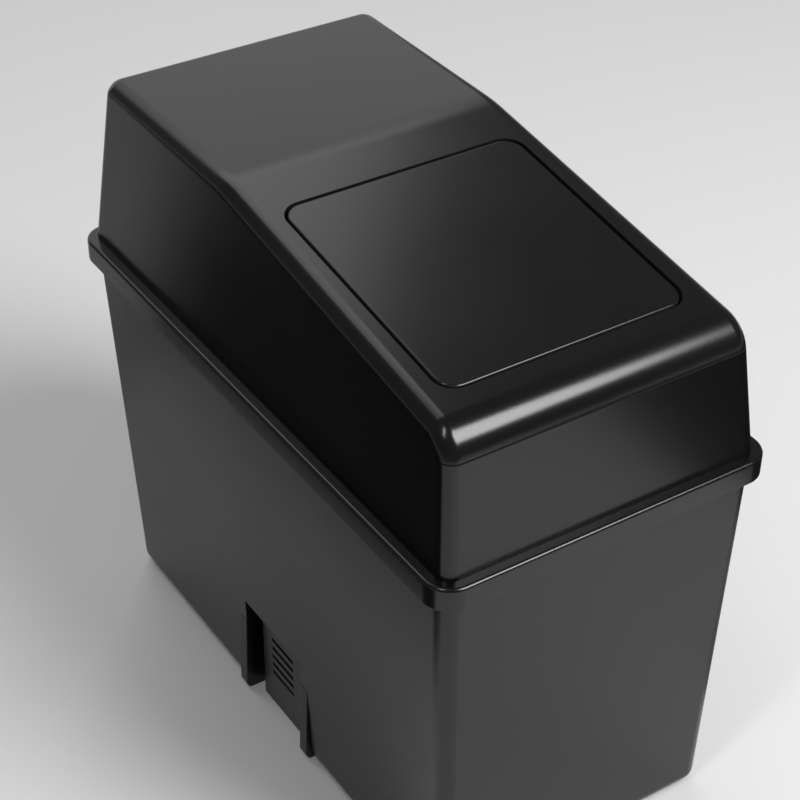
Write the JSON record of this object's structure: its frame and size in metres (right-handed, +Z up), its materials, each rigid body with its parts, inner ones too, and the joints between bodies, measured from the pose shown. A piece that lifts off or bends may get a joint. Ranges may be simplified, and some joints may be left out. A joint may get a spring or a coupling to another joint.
{
  "type": "car trash bin",
  "caption": "Lidded bin for a car: a tapered tub, a lift-off hood with a flush push-to-open flap on concealed gooseneck arms, and a hanger pocket with grooves in one long side.",
  "frame": {"origin": "middle of the base, on the floor", "axes": "+Z up; -Y is the low front of the hood, +Y its high rear; -X is the long side with the hanger pocket"},
  "size_m": [0.1336, 0.25, 0.2254],
  "materials": {
    "tub_plastic": "satin black moulded plastic",
    "hood_plastic": "polished black moulded plastic",
    "flap_plastic": "polished black moulded plastic",
    "inner_plastic": "matt black moulded plastic",
    "latch_plastic": "matt dark grey moulded plastic",
    "core_plastic": "natural white acetal",
    "steel": "zinc-plated steel",
    "rubber": "soft black rubber"
  },
  "bodies": {
    "tub": {"tub": "tub_plastic"},
    "hood": {"hood_shell": "hood_plastic", "hinge_rod": "steel", "rod_clips": "steel", "opening_spring_left": "steel", "opening_spring_right": "steel", "latch_housing": "latch_plastic", "latch_screws": "steel", "latch_cam_pin": "steel", "latch_spring": "steel", "press_stops": "rubber"},
    "flap": {"flap_panel": "flap_plastic", "flap_inner_lid": "inner_plastic", "inner_lid_screws": "steel"},
    "latch_core": {"latch_core": "core_plastic"}
  },
  "joints": [
    {"name": "hood_lift", "type": "slide", "parent": "tub", "child": "hood", "axis": [0, 0, 1], "range_m": [0, 0.1]},
    {"name": "flap_hinge", "type": "hinge", "parent": "hood", "child": "flap", "pos_m": [0, 0.01326, 0.21673], "axis": [-1, 0, 0], "range_deg": [-1, 78], "deforming": ["opening_spring_left", "opening_spring_right"]},
    {"name": "latch_slide", "type": "slide", "parent": "hood", "child": "latch_core", "axis": [0, -0.1409, 0.99], "range_m": [-0.0001, 0.006], "deforming": ["latch_spring"]}
  ],
  "couplings": [
    {"joint": "latch_slide", "follows": "flap_hinge", "m_per_rad": 0.0044}
  ]
}
